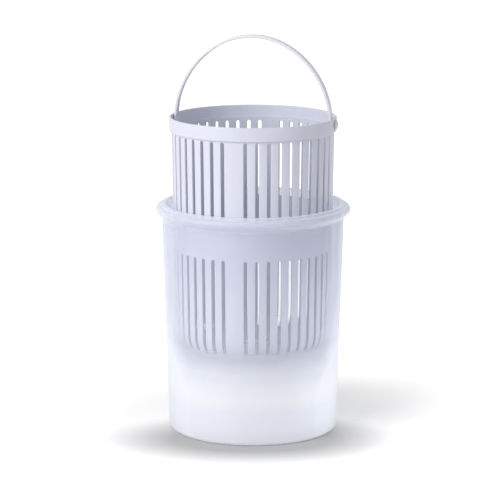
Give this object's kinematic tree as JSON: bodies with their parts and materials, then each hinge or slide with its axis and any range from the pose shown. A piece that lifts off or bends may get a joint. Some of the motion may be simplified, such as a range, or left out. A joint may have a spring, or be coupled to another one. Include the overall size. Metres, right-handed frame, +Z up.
{
  "type": "pickle keeper with lift strainer",
  "caption": "Round frosted storage tub for pickles with a slotted lift-out strainer and a swinging bail handle.",
  "frame": {"origin": "centre of the tub's underside, on the surface that it stands on", "axes": "+Z up along the tub's axis; X along the bail's pivots; Y across them"},
  "size_m": [0.1286, 0.1286, 0.2619],
  "materials": {
    "frosted_tub": "translucent frosted polypropylene, satin",
    "white_strainer": "opaque white polypropylene, satin gloss",
    "white_bail": "opaque white polypropylene, satin gloss"
  },
  "bodies": {
    "tub": {"container": "frosted_tub"},
    "strainer": {"strainer_basket": "white_strainer"},
    "bail": {"bail_handle": "white_bail"}
  },
  "joints": [
    {"name": "strainer_lift", "type": "slide", "parent": "tub", "child": "strainer", "axis": [0, 0, 1], "range_m": [-0.0475, 0.12]},
    {"name": "bail_swing", "type": "hinge", "parent": "strainer", "child": "bail", "pos_m": [0, 0, 0.2046], "axis": [1, 0, 0], "range_deg": [-71, 71]}
  ]
}
